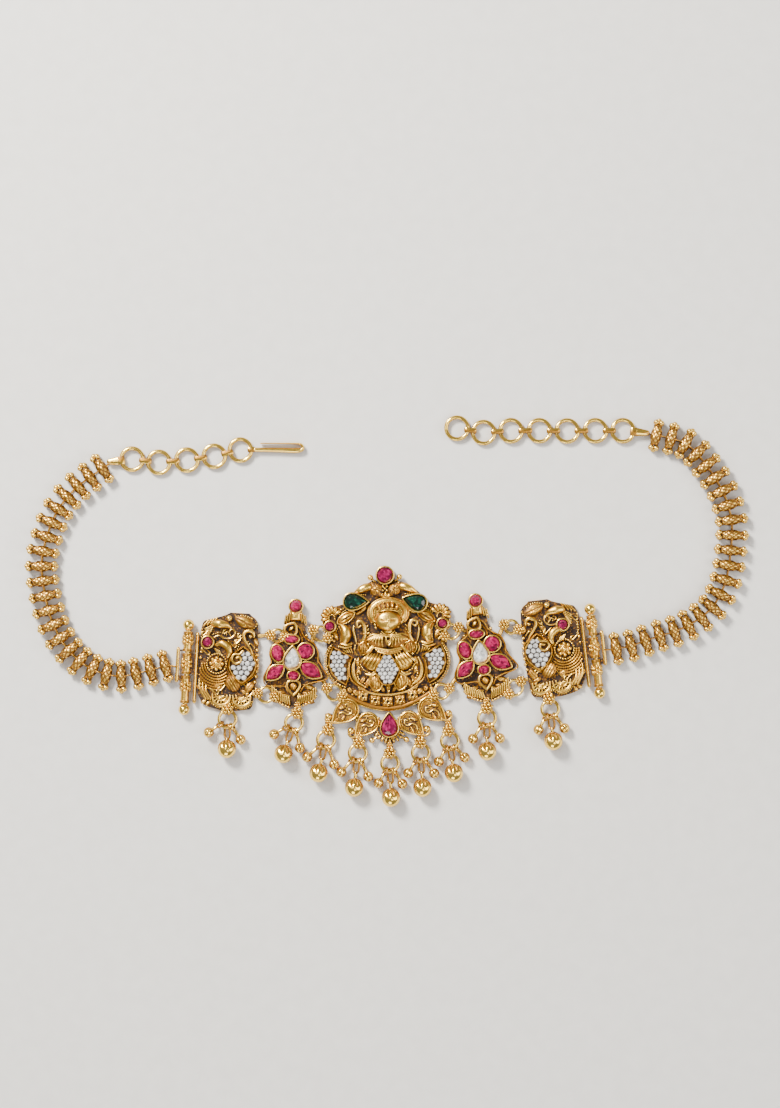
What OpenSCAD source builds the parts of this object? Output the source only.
// Bajuband armlet laid out flat: a jewelled front of five sections, two hinged bead
// chains, a hook and a row of extension rings. Millimetres, +Z up, the back of the
// jewel on the plane z = 0, the origin in the middle of the whole layout.

/* [Metal] */
// Thickness of the flat back plate of each section
plate_t = 0.9; // [0.7:0.1:1.1]
// Wall of the bezels that hold the stones
bezel_wall = 0.3; // [0.25:0.05:0.35]
// Height of the petal bezels above the table
bezel_h = 2.2; // [2:0.1:2.6]

/* [Bead chains] */
// Beads in each chain
bead_count = 22; // [22:1:22]
// Diameter of a bead's woven middle
bead_d = 2.6; // [2.4:0.1:2.6]
// Length of a bead across the chain
bead_len = 7; // [6.6:0.1:7.2]
// Wire radius of the jump rings between the beads
jump_wire = 0.13; // [0.1:0.01:0.15]

/* [Extension rings] */
// Outer diameter of an extension ring
ring_d = 5.68; // [5.5:0.02:5.7]
// Wire diameter of an extension ring
ring_wire = 0.88; // [0.8:0.02:0.9]
// Width of the flat collars that join two rings
collar_w = 1.1; // [0.8:0.1:1.2]

/* [Drops] */
// Diameter of the main ball of a drop
drop_ball_d = 3.8; // [3.4:0.1:3.8]
// Diameter of the two small balls of a drop
small_ball_d = 2.05; // [1.8:0.05:2.1]
// Outer diameter of the ring that carries the three balls
drop_ring_d = 4.3; // [4.2:0.05:4.4]

/* [Hinges] */
// Radius of the hinge barrels
barrel_r = 0.95; // [0.9:0.01:1]
// Radius of the hinge pin
pin_r = 0.45; // [0.4:0.01:0.5]
// Radial running gap round the pin
running_gap = 0.05; // [0.03:0.01:0.08]
// Distance between the ball ends of a pin
pin_len = 18.4; // [18.2:0.1:18.6]

/* [Hidden] */
sides = ["left", "right"];
flower_names = [
    "top_ruby", "top_petal", "upper_petal", "round_petal",
    "white_pear", "lower_petal", "long_petal", "bottom_petal"
];
connector_names = ["outer_left", "inner_left", "inner_right", "outer_right"];
$fn = 48;
stone_sides = 10;
gold = "#b98d3e";
bright_gold = "#d8b25a";
ruby = "#9c1038";
emerald = "#0d4a30";
clear = "#e8ecec";

// Middle of the layout before it is moved to the origin
middle = [0.175, 0.22];

// Flat frames of the five sections: x, y of the frame's origin, turn in degrees
plaque_at = [0.13, -6.27, 1.5];
flower_at = [[-20.55, -10.05, -2.5], [20.64, -8.84, 6.5]];
hinge_at = [[-43.83, -12.21, -3.15], [45.83, -8.65, 6.56]];

// Links between the sections: the bead end, then the lug end, in the order of the names
links_top = [
    [[-25.4, -5.1], [-22.2, -5.5]],
    [[-16, -4], [-12.75, -5.75]],
    [[15.9, -3.4], [12.85, -5.4]],
    [[25.9, -2.8], [29.1, -3.9]]
];
links_low = [
    [[-28.2, -17.9], [-24.5, -18.6]],
    [[-13, -16.8], [-9.7, -18.7]],
    [[13.9, -16.8], [10.4, -18.2]],
    [[29.6, -15.3], [27, -18.1]]
];
link_wire = 0.28;
link_play = 0.13;

// Drops: cap, main ball, left small ball and right small ball
drops = [
    [[-34.8, -21.3], [-34.9, -30.1], [-38.9, -26.5], [-31.9, -28.1]],
    [[-19.5, -22.2], [-22.5, -31.2], [-24.6, -26.9], [-18.9, -29.9]],
    [[-12.7, -25.9], [-14.8, -35.4], [-17.3, -31.9], [-11.4, -33.5]],
    [[-6, -28.8], [-7, -38.6], [-9.8, -35.2], [-3.9, -36.2]],
    [[0.8, -31], [1.1, -40.8], [-1.6, -37.6], [3.6, -37.8]],
    [[7.5, -28.7], [8, -38.6], [4.9, -35.4], [10.6, -35.5]],
    [[13.7, -26.1], [14.9, -35.4], [11.6, -32.9], [17.3, -32]],
    [[22.1, -21.1], [22.2, -30.6], [19.1, -27.9], [25, -27.8]],
    [[35.8, -19.1], [36.7, -28.4], [33.5, -25.9], [39.2, -25.6]]
];
cap_r = 1.5;
drop_ring_z = 1.3;
drop_wire = 0.3;
drop_ring_r = drop_ring_d / 2 - drop_wire;

// Extension rings from the free end inwards: x, y
rings_left = [[-32, 35.5], [-37.75, 34.15], [-43.75, 33.3], [-49.9, 32.8], [-55.8, 33.5]];
rings_right = [
    [15.6, 40.3], [21.45, 39.35], [27.45, 39.75], [33.7, 39.75],
    [39.8, 39.7], [46, 39.75], [52.05, 39.75]
];
ring_r = (ring_d - ring_wire) / 2;
collar_play = 0.15;
collar_t = 0.25;
ring_z = collar_t + collar_play + ring_wire / 2;

// Routes of the bead chains from the rings to the hinges
route_left = [
    [-62.3, 31.4], [-68, 27.2], [-72, 22.4], [-74.3, 16.9], [-75.6, 10.8], [-74.9, 4],
    [-73, -2.9], [-69.7, -8.4], [-64.8, -12.5], [-58.6, -14.2], [-53, -13.1], [-48.5, -11.95]
];
route_right = [
    [59.3, 38.7], [66, 36.7], [70.7, 31.5], [74.1, 25.9], [75.9, 19.6], [75.6, 12.9],
    [74.5, 6.6], [71.4, 0.7], [65.3, -3.5], [59, -5.6], [54, -7.4], [50.5, -8.1]
];
chain_z = bead_d / 2;
hole_s = 0.62;
hole_r = 0.3;
web_h = 0.3;

// Stones of a flower section: kind, x, y, turn, length, width
flower_stones = [
    ["oval", 0.3, 11.3, 0, 2.5, 2.5],
    ["oval", -0.35, 4, 0, 1.6, 2.9],
    ["oval", -3.25, 0.8, 18, 3.2, 2.1],
    ["oval", 2.85, 1.5, 0, 2.8, 2.8],
    ["pear", 0, 0, 0, 4.9, 3.6],
    ["marquise", -3.6, -3.4, -48, 4.2, 2.2],
    ["marquise", 4.1, -2.6, -120, 4.8, 2.4],
    ["oval", 0.4, -3.95, 0, 1.7, 2.1]
];
flower_colours = [ruby, ruby, ruby, ruby, clear, ruby, ruby, ruby];

// Stones of the centre plaque: kind, x, y, turn, length, width
centre_top_stone = ["oval", 0, 14.3, 0, 3.5, 3.5];
centre_emeralds = [
    ["pear", -6.5, 8.65, -93, 5.2, 3.5],
    ["pear", 6.35, 8.3, 72, 5.2, 3.5]
];
centre_pear_stone = ["pear", 0.1, -18.5, 0, 5, 3.6];
swan_stones = [["oval", -12.35, 3.35, 0, 2.1, 2.1], ["oval", 12.35, 3.35, 0, 2.1, 2.1]];

// Peacock sections, in the hinge's frame: distance in from the pin, and up along it
peacock_rubies = [["oval", 4.4, 5.8, 0, 2.3, 2.3], ["oval", 6.4, 6.6, 0, 2.3, 2.3]];
marquise_at = [12.4, 1.2];

// Little round stones: x, y of each centre
pave_r = 0.5;
skirt_rows = [1, 2, 3, 4, 3, 2];
skirt_points = [
    for (row = [0 : 5], k = [0 : skirt_rows[row] - 1])
        [(k - (skirt_rows[row] - 1) / 2) * 1.1, -3.9 - row * 0.95]
];

// Wing trays, in rows along their slanting top edge, each row with its own start
wing_top = [11.8, -1.2];
wing_slope = 209.7;
wing_starts = [1, 1.2, 1.75, 2.9];
wing_points = [
    for (row = [0 : 3], k = [0 : 2])
        let (along = wing_starts[row] + 1.1 * k, down = 0.85 + 1.15 * row)
        wing_top + along * [cos(wing_slope), sin(wing_slope)]
            + down * [-sin(wing_slope), cos(wing_slope)]
];
wing_tray = [
    wing_top, [12.6, -3], [12.8, -5.1], [12.1, -7], [10.8, -8.5], [9.1, -9.5], [8.7, -8.2],
    [8.65, -6.2], [8.4, -4.7], [7.6, -3.6]
];
skirt_tray = [
    [0, -2.9], [0.9, -3.4], [2.5, -6.3], [2.5, -7.2], [1.4, -9.3], [0, -9.75],
    [-1.4, -9.3], [-2.5, -7.2], [-2.5, -6.3], [-0.9, -3.4]
];
peacock_points = [
    for (k = [0 : 6])
        [marquise_at[0] + [0, 1.25, 0.1, 1.25, -0.9, 0.4, -0.1][k],
         marquise_at[1] + [1.6, 1.1, 0.3, -0.2, -0.8, -1.3, -2.6][k]]
];

// Outlines of stones, the long way along +Y
function outline(kind, length, width, n) = [
    for (k = [0 : n - 1]) let (t = 360 * k / n) [
        kind == "pear" ? width / 1.54 * sin(t) * sin(t / 2) :
        kind == "marquise" ? width / 2 * sin(t) * abs(sin(t)) :
        width / 2 * sin(t),
        length / 2 * cos(t)
    ]
];

// Smooth curve through hand-placed points, and even steps along it
function bent(a, b, c, d, t) =
    0.5 * (2 * b + (c - a) * t + (2 * a - 5 * b + 4 * c - d) * t * t
        + (3 * b - a - 3 * c + d) * t * t * t);
function smooth(p, steps = 8) = concat(
    [for (k = [0 : len(p) - 2], j = [0 : steps - 1])
        bent(p[max(k - 1, 0)], p[k], p[k + 1], p[min(k + 2, len(p) - 1)], j / steps)],
    [p[len(p) - 1]]
);
function travelled(p) = [
    for (k = 0, s = 0; k < len(p); k = k + 1, s = k < len(p) ? s + norm(p[k] - p[k - 1]) : s) s
];
function point_at(p, reach, s) =
    let (k = max([for (j = [0 : len(p) - 2]) if (reach[j] <= s) j]))
    p[k] + (s - reach[k]) / (reach[k + 1] - reach[k]) * (p[k + 1] - p[k]);
function beads_on(route) =
    let (p = smooth(route), reach = travelled(p), whole = reach[len(p) - 1])
    [for (k = [0 : bead_count - 1]) point_at(p, reach, (whole - 0.001) * k / (bead_count - 1))];
function heading(p, k) =
    let (a = p[max(k - 1, 0)], b = p[min(k + 1, len(p) - 1)]) (b - a) / norm(b - a);
function unit(v) = v / norm(v);
function angle_of(v) = atan2(v[1], v[0]);

beads_left = beads_on(route_left);
beads_right = beads_on(route_right);

// Puts a finished piece in the shared frame
module placed() {
    translate([-middle[0], -middle[1], 0]) children();
}

module at(frame) {
    translate([frame[0], frame[1], 0]) rotate(frame[2]) children();
}

// A hinge's frame, x running inwards from the pin
module at_hinge(side) {
    at(hinge_at[side]) mirror([side, 0, 0]) children();
}

// Cuts off what would reach below the jewel's flat back
module flat_back() {
    intersection() {
        children();
        translate([-60, -60, 0]) cube([120, 120, 20]);
    }
}

module both() {
    children();
    mirror([1, 0, 0]) children();
}

module ring(r, wire) {
    rotate_extrude() translate([r, 0]) circle(r = wire, $fn = 24);
}

module meshed_ring(r, wire) {
    rotate_extrude($fn = 9) translate([r, 0]) circle(r = wire, $fn = 4);
}

// A granule: a small dome of six sides
module grain(r) {
    translate([0, 0, -r]) cylinder(r1 = r, r2 = 0.6 * r, h = 1.9 * r, $fn = 6);
}

// A raised ridge through points given as x, y, height of its top, half its width
module ridge(points) {
    for (k = [0 : len(points) - 2])
        hull() for (p = [points[k], points[k + 1]])
            translate([p[0], p[1], 0.4])
            cylinder(r1 = 1.1 * p[3], r2 = 0.5 * p[3], h = p[2] - 0.4, $fn = 4);
}

// A cut stone: table, crown facets and a pointed back
module cut_stone(kind, length, width, rise = 0.8, n = stone_sides) {
    girdle = outline(kind, length, width, n);
    depth = 0.9;
    low = [for (p = girdle) [p[0], p[1], depth]];
    top = [for (p = girdle) [p[0] * 0.62, p[1] * 0.62, depth + rise]];
    polyhedron(
        points = concat(low, top, [[0, 0, 0]]),
        faces = concat(
            [[for (k = [0 : n - 1]) n + k]],
            [for (k = [0 : n - 1]) [k, (k + 1) % n, n + (k + 1) % n, n + k]],
            [for (k = [0 : n - 1]) [k, 2 * n, (k + 1) % n]]
        )
    );
}

// Places a stone of a table in its section
module seat(row) {
    translate([row[1], row[2], 0]) rotate(row[3]) children();
}

module stone(row, colour, floor_z = plate_t) {
    play = 0.06;
    color(colour)
        seat(row)
        translate([0, 0, floor_z + 0.05])
        cut_stone(row[0], row[4] - 2 * play, row[5] - 2 * play);
}

module bezel(row, height = bezel_h) {
    seat(row)
        linear_extrude(height)
        offset(delta = bezel_wall)
        polygon(outline(row[0], row[4], row[5], stone_sides));
}

module pocket(row) {
    seat(row)
        translate([0, 0, plate_t])
        linear_extrude(6)
        polygon(outline(row[0], row[4], row[5], stone_sides));
}

module small_stones(points, z) {
    color(clear)
        for (p = points)
            translate([p[0], p[1], z - 0.55])
            scale(0.55)
            cut_stone("oval", 2 * pave_r / 0.55, 2 * pave_r / 0.55, n = 6);
}

// A tray for small stones: a raised outline with a sunk floor
module tray(points, height) {
    difference() {
        linear_extrude(height) polygon(points);
        translate([0, 0, height - 0.6]) linear_extrude(2) offset(delta = -bezel_wall) polygon(points);
    }
}

// The two link rings of a joint between sections
function link_centre(link) = (link[0] + link[1]) / 2;
function link_r(link) = norm(link[1] - link[0]) / 2 - 0.25;

module link_rings(k) {
    color(bright_gold)
        for (link = [links_top[k], links_low[k]])
            translate([link_centre(link)[0], link_centre(link)[1], 1.2])
            ring(link_r(link), link_wire);
}

// Square tunnel round a ring's wire
module tunnel(r, wire) {
    rotate_extrude($fn = 10) translate([r, 0]) square(2 * wire, center = true);
}

// Tunnels that the link rings leave in the beads and lugs
module link_tunnels(links) {
    for (link = links)
        translate([link_centre(link)[0], link_centre(link)[1], 1.2])
        tunnel(link_r(link), link_wire + link_play);
}

// A drilled bead or lug with a foot that is soldered to its section
module lug(from, to, r) {
    translate([from[0], from[1], 1.2]) sphere(r = r, $fn = 8);
    hull() {
        translate([from[0], from[1], 0.5]) cube([0.9, 0.9, 0.8], center = true);
        translate([to[0], to[1], 0.5]) cube([0.9, 0.9, 0.8], center = true);
    }
}

// Drop: where its ring hangs under the cap
function drop_aim(d) = unit(d[1] - d[0]);
function drop_centre(d) = d[0] + drop_aim(d) * 2.3;

module drop_cap(d) {
    translate([d[0][0], d[0][1], cap_r]) sphere(r = cap_r, $fn = 8);
}

module drop_tunnel(d) {
    translate([drop_centre(d)[0], drop_centre(d)[1], drop_ring_z])
        tunnel(drop_ring_r, drop_wire + 0.14);
}

// A ball with a long eye round the drop's ring
module drop_ball(centre, ball, r, eye_len) {
    reach = ball - centre;
    eye_r = 0.8;
    eye_wire = 0.2;
    start = drop_ring_r + 0.15;
    translate([centre[0], centre[1], drop_ring_z])
        rotate(angle_of(reach))
        union() {
            translate([start, 0, 0])
                rotate([90, 0, 0])
                rotate(90)
                rotate_extrude(angle = 180)
                translate([eye_r, 0])
                circle(r = eye_wire, $fn = 24);
            for (up = [-1, 1])
                translate([start, 0, up * eye_r])
                rotate([0, 90, 0])
                cylinder(r = eye_wire, h = eye_len, $fn = 24);
            translate([start + eye_len, 0, 0])
                rotate([90, 0, 0])
                rotate(-90)
                rotate_extrude(angle = 180)
                translate([eye_r, 0])
                circle(r = eye_wire, $fn = 24);
            translate([start + eye_len + eye_r, 0, 0])
                rotate([0, 90, 0])
                cylinder(r = 0.35, h = norm(reach) - start - eye_len - eye_r - 0.5 * r);
            translate([norm(reach), 0, max(r - drop_ring_z, 0)]) sphere(r = r);
        }
}

module drop(k) {
    d = drops[k];
    centre = drop_centre(d);
    color(gold) {
        translate([centre[0], centre[1], drop_ring_z]) ring(drop_ring_r, drop_wire);
        drop_ball(centre, d[1], drop_ball_d / 2, 1.6);
        drop_ball(centre, d[2], small_ball_d / 2, 0.01);
        drop_ball(centre, d[3], small_ball_d / 2, 0.01);
    }
}

// Section with a small flower of eight set stones
module flower_relief() {
    linear_extrude(plate_t) {
        hull() for (k = [1, 2, 5]) flower_plate(k);
        hull() for (k = [1, 3, 6]) flower_plate(k);
        hull() for (k = [5, 6, 7]) flower_plate(k);
        hull() {
            translate([0.2, 9]) circle(r = 2.2, $fn = 10);
            flower_plate(0);
        }
        translate([-1.5, 3]) square([2.6, 7]);
        translate([-1, -10.6]) square([2.6, 6]);
    }
    for (row = flower_stones) bezel(row);
    seat(flower_stones[4]) linear_extrude(2.8) offset(delta = bezel_wall)
        polygon(outline("pear", 4.9, 3.6, stone_sides));
    // Ribbed cap under the top ruby
    translate([0.2, 8.9, 0]) scale([1, 0.62, 1]) sphere(r = 2.4, $fn = 8);
    // Open pear rings above and below
    translate([-0.35, 6.3, 1.4]) scale([1, 1.15, 1]) meshed_ring(1.05, 0.35);
    translate([0.5, -6.6, 1.2]) scale([1, 1.25, 1]) meshed_ring(1.15, 0.35);
    // Outer frame wire
    ridge([
        [1.9, 5.2, 1.5, 0.35], [4.9, 3.6, 1.5, 0.35], [5.5, -0.4, 1.5, 0.35],
        [7.6, -4.1, 1.5, 0.35], [4.6, -5.6, 1.5, 0.35]
    ]);
    ridge([
        [-5.2, -6.4, 1.5, 0.35], [-6.1, -4.9, 1.5, 0.35], [-4.8, -1.5, 1.5, 0.35],
        [-4.9, 2.6, 1.5, 0.35], [-1.8, 5.2, 1.5, 0.35]
    ]);
    // Two ribbed arcs that meet at the bottom
    for (side = [-1, 1])
        ridge([
            for (k = [0 : 2])
                [0.6 + side * (4.7 - k * 2.1), -8 - 2.9 * sin(k * 45), 1.8, 0.9]
        ]);
    linear_extrude(plate_t)
        polygon([[-4, -8.6], [-3, -6], [-3, -4], [4.2, -4], [4.2, -6], [5.2, -8.6], [0.6, -10.8]]);
}

module flower_plate(k) {
    row = flower_stones[k];
    translate([row[1], row[2]])
        rotate(row[3])
        scale([row[5] / 2 + bezel_wall, row[4] / 2 + bezel_wall])
        circle(r = 1, $fn = 10);
}

module flower_panel(side) {
    d = drops[[1, 7][side]];
    own = [0, 2][side];
    color(gold)
        flat_back()
        difference() {
            union() {
                at(flower_at[side]) flower_relief();
                drop_cap(d);
                translate([d[0][0] - 1, d[0][1], 0.1]) cube([2, 3, 1.2]);
                if (side == 0) {
                    lug([-22.2, -5.5], [-20.8, -4.5], 1.1);
                    lug([-24.5, -18.6], [-22.4, -18.2], 1.1);
                    lug([-16, -4], [-16.2, -6.6], 1.1);
                    lug([-13, -16.8], [-14.2, -14.4], 1.1);
                } else {
                    lug([15.9, -3.4], [18.4, -4.8], 1.1);
                    lug([13.9, -16.8], [15.6, -14.2], 1.1);
                    lug([25.9, -2.8], [24.9, -5.2], 1.1);
                    lug([27, -18.1], [25, -17], 1.1);
                }
            }
            at(flower_at[side]) {
                for (row = flower_stones) pocket(row);
                translate([0.5, -6.6, -1]) cylinder(r = 0.75, h = 4, $fn = 10);
            }
            link_tunnels([links_top[own], links_low[own]]);
            link_tunnels([links_top[own + 1], links_low[own + 1]]);
            drop_tunnel(d);
        }
}

// Peacock section beside a hinge, x inwards from the pin
module peacock_relief(side) {
    jewel = peacock_rubies[side];
    linear_extrude(plate_t)
        polygon([
            [2.65, 7.6], [3.2, 10], [6.4, 11.2], [8.8, 12], [13, 12.2], [15.2, 10.6],
            [15.4, 5], [15.5, -2], [15, -8.4], [9, -8.8], [3.8, -7.8], [2.65, -5.4]
        ]);
    bezel(jewel, 2.4);
    // Plump bird with a hatched tail over the ruby
    translate([7.3, 9.6, 0.5]) scale([1.6, 1.1, 1.3]) sphere(r = 1.4, $fn = 8);
    translate([9.1, 11, 1.2]) grain(0.8);
    for (k = [0 : 2]) ridge([[3.6, 8.2 + k * 0.75, 1.4, 0.35], [5.4, 8.9 + k * 0.75, 1.8, 0.4]]);
    // Leaf with a grained edge
    translate([12.6, 10, 0.4]) rotate(-25) scale([2.2, 1.2, 1]) sphere(r = 1.2, $fn = 8);
    for (k = [0 : 3])
        translate([12.6 + 2.5 * cos(k * 60 - 60), 10 + 1.5 * sin(k * 60 - 60), 1.1]) grain(0.45);
    // Neck, body rosette and feather arcs
    ridge([[4.6, 3.6, 1.7, 0.6], [6.6, 4.9, 2.2, 0.8], [9, 4.4, 2.2, 0.8], [10, 2.6, 1.7, 0.5]]);
    difference() {
        translate([6.8, 1, 0.5]) scale([1, 1, 0.75]) sphere(r = 2.7, $fn = 10);
        translate([7, 1.2, 2]) cylinder(r = 0.9, h = 2, $fn = 6);
    }
    for (k = [0 : 1])
        ridge([
            for (j = [0 : 3])
                [7 + (3.1 + k * 1.1) * cos(185 + k * 30 + j * 28),
                 0.6 + (3.1 + k * 1.1) * sin(185 + k * 30 + j * 28), 1.6, 0.55]
        ]);
    // Marquise tray for the small stones, with a swirl in its corner
    translate([marquise_at[0], marquise_at[1], 0]) tray(outline("marquise", 8.2, 6, 12), 1.9);
    translate([marquise_at[0] - 0.9, marquise_at[1] + 1.4, 1.4]) grain(0.7);
    ridge([[10.4, 9, 1.6, 0.45], [13.3, 8.4, 1.8, 0.5], [14.7, 5.2, 1.7, 0.45]]);
    // Lump and scalloped crescents along the bottom
    translate([10.1, -3.4, 0.9]) sphere(r = 1.25, $fn = 8);
    for (x = [8, 12.5])
        ridge([
            for (j = [0 : 3]) [x + 2 * cos(180 + j * 60), -6 + 1.9 * sin(180 + j * 60), 1.6, 0.6]
        ]);
    translate([4.8, -5.8, 0.4]) rotate(40) scale([1.5, 0.9, 0.9]) sphere(r = 1.3, $fn = 8);
    for (k = [0 : 4]) translate([14.9, -2.2 - k * 1.25, 1]) grain(0.6);
    for (k = [0 : 3]) translate([3.4, -3.6 + k * 1.6, 1]) grain(0.55);
}

module peacock_panel(side) {
    d = drops[[0, 8][side]];
    own = [0, 3][side];
    color(gold)
        flat_back()
        difference() {
            union() {
                at_hinge(side) peacock_relief(side);
                drop_cap(d);
                if (side == 0) {
                    translate([d[0][0] - 1, d[0][1], 0.1]) cube([2, 2, 1.2]);
                    lug([-25.4, -5.1], [-28.6, -5.4], 1.1);
                    lug([-28.2, -17.9], [-29.6, -17], 1.1);
                } else {
                    translate([d[0][0] - 1, d[0][1], 0.1]) cube([2, 2.6, 1.2]);
                    lug([29.1, -3.9], [31.4, -4.4], 1.1);
                    lug([29.6, -15.3], [31.8, -14.6], 1.1);
                }
            }
            at_hinge(side) pocket(peacock_rubies[side]);
            link_tunnels([links_top[own], links_low[own]]);
            drop_tunnel(d);
        }
}

// Goddess seated in a halo, with raised flower hands and folded knees
module figure() {
    translate([0.5, 5.9, 0]) scale([1, 0.76, 1]) {
        linear_extrude(1.3) circle(r = 3.7, $fn = 20);
        linear_extrude(1.9) difference() {
            circle(r = 4.6, $fn = 20);
            circle(r = 3.4, $fn = 20);
        }
    }
    translate([0.3, 10, 1.1]) grain(0.8);
    // Crown, head and hair
    translate([0.4, 6.9, 1.2]) scale([1, 0.75, 1]) cylinder(r1 = 2.6, r2 = 1.6, h = 1.8, $fn = 8);
    translate([0.4, 4.35, 2]) scale([1.18, 1.02, 0.9]) sphere(r = 2.1, $fn = 12);
    translate([0.4, 4.3, 1.3]) scale([1.3, 1, 0.6]) sphere(r = 2.2, $fn = 8);
    // Shoulders, drape and necklace
    hull() both() {
        translate([3.2, 0.2, 1.1]) grain(1.2);
        translate([1.4, -2.4, 1.3]) grain(1);
    }
    ridge([for (k = [0 : 3]) [2.2 * cos(180 + k * 60), 1 + 1.8 * sin(180 + k * 60), 2.5, 0.4]]);
    both() {
        // Raised arm with a lotus, lower arm with an open hand
        ridge([[3.4, 0, 2.4, 0.9], [5.2, -0.6, 2.3, 0.8], [5.9, 1.4, 2.3, 0.7], [6, 3, 2.5, 0.7]]);
        translate([6, 4.3, 1.4]) scale([1, 1.3, 1]) sphere(r = 1.1, $fn = 6);
        ridge([[3.2, -1, 2.4, 0.9], [4.6, -2.6, 2.4, 0.8], [5.4, -1.9, 2.6, 0.8]]);
        // Folded leg
        ridge([[1.6, -4.2, 2.4, 1], [4.2, -4.2, 2.8, 1.3], [3.6, -5.6, 2.6, 1.2], [1.8, -6.6, 2.3, 1]]);
    }
    tray(skirt_tray, 2.9);
    // Lotus seat
    translate([0.1, -10.5, 1.2]) grain(0.9);
    both() for (k = [0 : 2])
        ridge([[1.6 + k * 1.8, -11 + k * 0.6, 1.5, 0.8], [2.6 + k * 1.8, -8.6 + k * 0.5, 2, 0.9]]);
}

// Half of the plaque's frame: scrolls, swan, band and paisleys, x outwards
module plaque_side() {
    // Ball, crescent and hatched tuft under the top ruby
    ridge([[2.1, 12.8, 1.2, 0.4], [3.2, 13.85, 1.2, 0.4]]);
    translate([3.2, 13.85, 1.2]) grain(0.66);
    ridge([[3.5, 11.8, 1.9, 0.85], [5.2, 11.3, 1.9, 0.75], [7, 10.1, 1.4, 0.35]]);
    ridge([[1.8, 10.1, 1.5, 1], [2.2, 11.7, 1.7, 1]]);
    // Swan: crest, head, neck and wing
    for (k = [0 : 2])
        ridge([[12.1, 4.8, 1.4, 0.6], [12 + 2 * cos(55 + k * 38), 5 + 2.2 * sin(55 + k * 38),
                1.6, 0.7]]);
    ridge([[10.5, 4.1, 1.9, 0.5], [9.2, 4.9, 2.2, 0.85], [7.3, 6.1, 1.7, 0.4]]);
    ridge([[10.1, 3.6, 1.8, 0.5], [9, 2.6, 2.2, 1], [8.7, 1.2, 2.3, 1.1], [8.5, -0.8, 1.9, 0.8]]);
    tray(wing_tray, 2.4);
    ridge([[7.45, -4.2, 1.6, 0.4], [8, -6.6, 1.6, 0.4], [7, -9.3, 1.6, 0.4], [4.6, -11.1, 1.5, 0.4]]);
    for (k = [0 : 2]) translate([13 - 0.2 * k * k, -2.5 - k * 2.4, 1]) grain(0.6);
    // Band of flower beads under the seat, leafy at its end, on a broad rim
    for (k = [0 : 2])
        translate([k * 2.65, -13.4 + 0.32 * k * k, 0]) {
            cylinder(r = 1.2, h = 1.9, $fn = 8);
            translate([0, 0, 1.9]) grain(0.6);
        }
    ridge([[6.9, -11.6, 1.7, 0.8], [8.9, -10.8, 1.6, 0.7]]);
    ridge([[0, -14.8, 1.4, 0.4], [3.2, -14.5, 1.4, 0.4], [6.4, -13.3, 1.4, 0.4], [9, -11.9, 1.4, 0.4]]);
    // Paisleys with a tail that curls to a ball, joined by short bars behind
    translate([9.8, -15.7, 0]) paisley(-127, 6.9, 4.8);
    translate([5.2, -18.7, 0]) paisley(-134.5, 6.5, 4.5);
    ridge([[11.4, -17, 1.5, 0.4], [12.6, -17.7, 1.5, 0.45], [13.4, -17.2, 1.5, 0.45]]);
    ridge([[6.6, -20.2, 1.5, 0.4], [7.6, -20.9, 1.5, 0.45], [8.4, -20.2, 1.5, 0.45]]);
    translate([13.3, -16.5, 1]) grain(0.85);
    translate([8.35, -19.5, 1]) grain(0.85);
    ridge([[9, -12, 0.9, 0.7], [9, -14, 0.9, 0.7]]);
    ridge([[8.6, -15.6, 0.9, 0.8], [5.2, -17.6, 0.9, 0.8], [0, -18.5, 0.9, 0.8]]);
    // Fan and ball under the pear
    ridge([[0.6, -20.8, 1.5, 0.5], [2.2, -21.5, 1.4, 0.45], [3.8, -21.9, 1.2, 0.4]]);
    translate([3.8, -21.9, 1]) grain(0.7);
}

module paisley(turn, length, width) {
    rotate(turn) {
        linear_extrude(1.5) polygon(outline("pear", length, width, stone_sides));
        for (k = [3 : 7])
            translate([0.75 * width / 1.54 * sin(k * 36) * sin(k * 18), 0.4 * length * cos(k * 36), 1.5])
            grain(0.5);
    }
}

module centre_plaque() {
    stones = concat([centre_top_stone, centre_pear_stone], centre_emeralds, swan_stones);
    color(gold)
        flat_back()
        difference() {
            union() {
                at(plaque_at) {
                    both() linear_extrude(plate_t) polygon([
                        [-0.1, 13.4], [2.2, 13.4], [3.4, 12.8], [5.4, 12.1], [7.6, 10.2],
                        [9.6, 7.2], [11.2, 7.7], [13, 7.6], [14.3, 6.2], [14.1, 4.4],
                        [12.9, 1.4], [13.2, -1], [13.5, -5.2], [12.8, -7.4], [11.3, -9],
                        [10.2, -10.4], [9.9, -12.3], [6.5, -13.8], [3.2, -15], [-0.1, -15.3]
                    ]);
                    for (row = stones) bezel(row, 2.5);
                    both() plaque_side();
                    figure();
                }
                for (k = [2 : 6]) {
                    d = drops[k];
                    drop_cap(d);
                    reach = [3.4, 3.4, 3.9, 3.4, 3.4][k - 2];
                    translate([d[0][0] - 0.8, d[0][1], 0.1]) cube([1.6, reach, 1.2]);
                }
                lug([-12.75, -5.75], [-10.8, -6], 1.1);
                lug([12.85, -5.4], [11, -6], 1.1);
                lug([-9.7, -18.7], [-8.4, -18.6], 1.1);
                lug([10.4, -18.2], [9, -18.4], 1.1);
            }
            at(plaque_at) for (row = stones) pocket(row);
            for (k = [1, 2]) link_tunnels([links_top[k], links_low[k]]);
            for (k = [2 : 6]) drop_tunnel(drops[k]);
        }
}

// Three knuckles on one pin: the middle one is the jewel's, the others the chain's
knuckle_low = -1.6;
knuckle_high = 3.2;
barrel_half = pin_len / 2 - 1.2;
hinge_z = 1.3;

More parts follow.
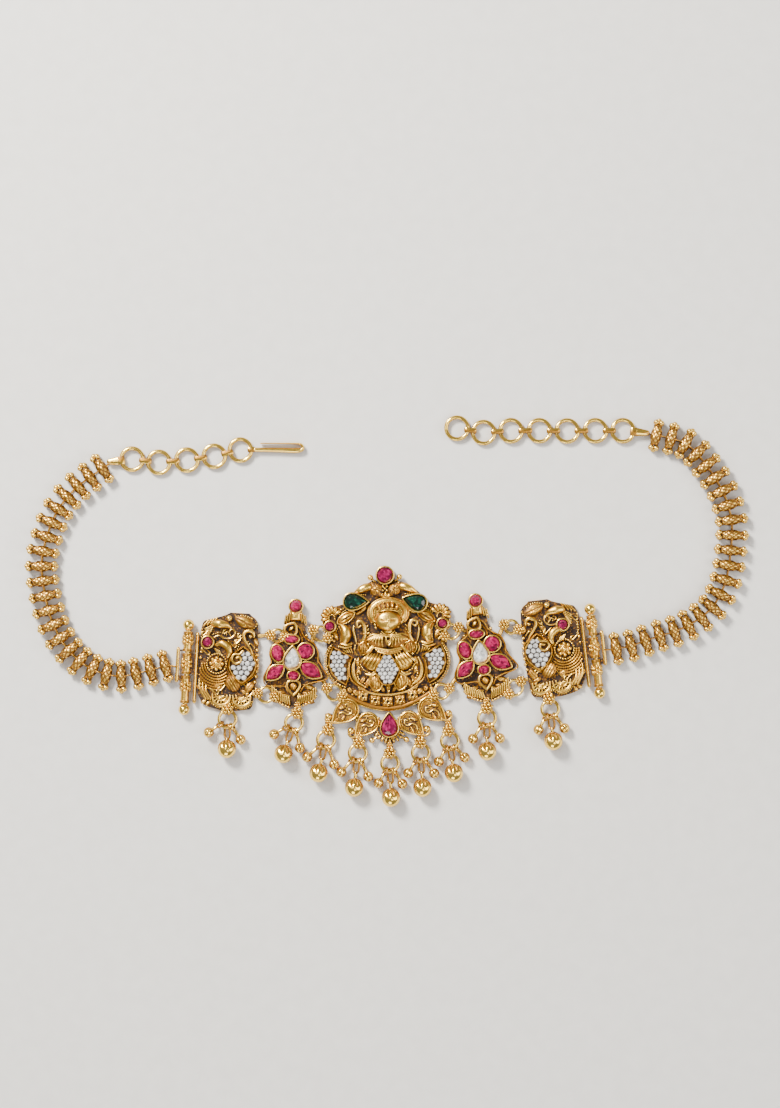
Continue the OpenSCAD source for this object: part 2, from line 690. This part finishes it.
module knuckle(from, to, cluster) {
    difference() {
        union() {
            translate([0, from, hinge_z])
                rotate([-90, 0, 0])
                cylinder(r = barrel_r, h = to - from);
            for (k = [0 : 6]) {
                out = k == 0 ? 0 : 0.72;
                turn = out * cos(k * 60) / barrel_r * 57.3;
                translate([0, cluster + out * sin(k * 60), hinge_z])
                    rotate([0, turn, 0])
                    translate([0, 0, barrel_r])
                    sphere(r = 0.4, $fn = 24);
            }
        }
        translate([0, from - 1, hinge_z])
            rotate([-90, 0, 0])
            cylinder(r = pin_r + running_gap, h = to - from + 2);
    }
}

module outer_leaf(side) {
    gap = 0.05;
    color(gold)
        at_hinge(side) {
            knuckle(knuckle_high + gap, barrel_half, 6);
            knuckle(-barrel_half, knuckle_low - gap, -4.2);
            difference() {
                union() {
                    translate([-2.45, -3, hinge_z - web_h]) cube([1, 7, 2 * web_h]);
                    translate([-1.5, -3, hinge_z - web_h]) cube([0.8, 1.3, 2 * web_h]);
                    translate([-1.5, 3.3, hinge_z - web_h]) cube([0.8, 0.7, 2 * web_h]);
                }
                translate([-1.95, 0, 0]) cylinder(r = hole_r, h = 3);
            }
        }
}

module inner_leaf(side) {
    gap = 0.05;
    color(gold)
        at_hinge(side) {
            knuckle(knuckle_low + gap, knuckle_high - gap, 0.8);
            translate([1.7, -7.6, 0.3]) cube([0.8, 15.2, 1.6]);
            translate([0.7, knuckle_low + gap, hinge_z - 0.3])
                cube([1.1, knuckle_high - knuckle_low - 2 * gap, 0.6]);
        }
}

module hinge_pin(side) {
    color(bright_gold)
        at_hinge(side) {
            translate([0, -pin_len / 2, hinge_z])
                rotate([-90, 0, 0])
                cylinder(r = pin_r, h = pin_len);
            for (end = [-1, 1]) translate([0, end * pin_len / 2, hinge_z]) sphere(r = 1.1);
        }
}

// A woven barrel bead between two knobs, slotted and drilled for its jump rings
module bead() {
    half = bead_len / 2;
    profile = [
        [0.65, half], [1.15, half - 0.4], [1.15, half - 0.9], [0.7, half - 1.35],
        [1.1, 1.4], [bead_d / 2, 0.5]
    ];
    difference() {
        rotate([-90, 0, 0])
            rotate_extrude()
            polygon(concat(
                [[0, half]],
                profile,
                [for (k = [len(profile) - 1 : -1 : 0]) [profile[k][0], -profile[k][1]]],
                [[0, -half]]
            ));
        for (side = [-1, 1]) {
            for (up = [-1, 1])
                translate([side * 1.35, 0, up * (web_h + 1)])
                cube([2, 0.7, 2], center = true);
            translate([side * hole_s, 0, 0]) cylinder(r = hole_r, h = 2, center = true, $fn = 24);
        }
    }
}

module jump_ring(a, b) {
    centre = (a + b) / 2;
    translate([centre[0], centre[1], chain_z])
        rotate(angle_of(b - a))
        rotate([90, 0, 0])
        ring(norm(b - a) / 2, jump_wire);
}

function tab_hole(side) =
    let (h = hinge_at[side], out = [-1, 1][side] * 1.95)
    [h[0] + out * cos(h[2]), h[1] + out * sin(h[2])];

module bead_chain(points, side) {
    color(gold)
        for (k = [0 : bead_count - 1])
            translate([points[k][0], points[k][1], chain_z])
            rotate(angle_of(heading(points, k)))
            bead();
    color(bright_gold) {
        for (k = [0 : bead_count - 2])
            jump_ring(points[k] + hole_s * heading(points, k),
                      points[k + 1] - hole_s * heading(points, k + 1));
        jump_ring(points[bead_count - 1] + hole_s * heading(points, bead_count - 1), tab_hole(side));
        jump_ring(bail_eye(points), points[0] - hole_s * heading(points, 0));
    }
}

// Where the bail's eye stands before the first bead
function bail_eye(points) =
    points[0] - (hole_s + 2 * 1.06) * heading(points, 0);

// Flat band bent round one or two ring wires, centred on x = 0
module collar(half) {
    inner = half + ring_wire / 2 + collar_play;
    high = ring_wire + 2 * collar_play;
    difference() {
        translate([-inner - collar_t, -collar_w / 2, 0.02])
            cube([2 * (inner + collar_t), collar_w, high + 2 * collar_t - 0.02]);
        translate([-inner, -collar_w, collar_t]) cube([2 * inner, 2 * collar_w, high]);
    }
}

module ring_chain(centres, points) {
    color(bright_gold) {
        for (c = centres) translate([c[0], c[1], ring_z]) ring(ring_r, ring_wire / 2);
        for (k = [0 : len(centres) - 2]) {
            a = centres[k];
            b = centres[k + 1];
            translate([(a[0] + b[0]) / 2, (a[1] + b[1]) / 2, 0])
                rotate(angle_of(b - a))
                collar(norm(b - a) / 2 - ring_r);
        }
        bail(centres[len(centres) - 1], bail_eye(points));
    }
}

// Bail: a collar on the last ring with a drilled tongue for the first jump ring
module bail(centre, eye) {
    reach = norm(eye - centre);
    start = ring_r + ring_wire / 2 + collar_play;
    translate([centre[0], centre[1], 0])
        rotate(angle_of(eye - centre))
        difference() {
            union() {
                translate([ring_r, 0, 0]) collar(0);
                translate([start, -0.55, chain_z - 0.2]) cube([reach + 0.1 - start, 1.1, 0.4]);
                translate([reach, 0, chain_z - 0.2]) cylinder(r = 0.55, h = 0.4);
            }
            translate([reach, 0, 0]) cylinder(r = hole_r, h = 3);
        }
}

// Hook: a strip folded on itself, held on the end ring by a collar
module hook() {
    start = ring_r + ring_wire / 2 + collar_play;
    color(bright_gold)
        translate([rings_left[0][0], rings_left[0][1], 0])
        rotate(1.5) {
            translate([ring_r, 0, 0]) collar(0);
            translate([0, 0, 0.1])
                linear_extrude(1.5) {
                    polygon([[start, -0.5], [13, -1], [13, 0.35], [start, 0.5]]);
                    difference() {
                        translate([13, 0.15]) circle(r = 1.15);
                        translate([13, 0.6]) circle(r = 0.25);
                        translate([11, 0.35]) square([2, 0.5]);
                        translate([11, -3]) square([2, 2.5]);
                        translate([11, 0.85]) square([1, 2]);
                    }
                    polygon([[4.4, 1.5], [12.6, 1.25], [13, 1.3], [13, 0.85], [12.6, 0.85], [4.4, 1.15]]);
                }
        }
}

placed() centre_plaque();
placed() at(plaque_at) stone(centre_top_stone, ruby);  // centre_top_ruby
placed() at(plaque_at) stone(centre_pear_stone, ruby);  // pear_ruby
placed() at(plaque_at) small_stones(skirt_points, 2.9);  // skirt_stones
for (side = [0, 1]) {
    name = sides[side];
    turn = [1, 0][side];
    placed() at(plaque_at) stone(centre_emeralds[side], emerald);
    placed() at(plaque_at) stone(swan_stones[side], ruby);
    placed() at(plaque_at) mirror([turn, 0, 0]) small_stones(wing_points, 2.4);
    placed() flower_panel(side);
    for (k = [0 : 7])
        placed() at(flower_at[side]) stone(flower_stones[k], flower_colours[k]);
    placed() peacock_panel(side);
    placed() at_hinge(side) stone(peacock_rubies[side], ruby);
    placed() at_hinge(side) small_stones(peacock_points, 1.9);
    placed() inner_leaf(side);
    placed() outer_leaf(side);
    placed() hinge_pin(side);
    placed() bead_chain([beads_left, beads_right][side], side);
    placed() ring_chain([rings_left, rings_right][side], [beads_left, beads_right][side]);
}
for (k = [0 : 3])
    placed() link_rings(k);
for (k = [0 : 8])
    placed() drop(k);
placed() hook();
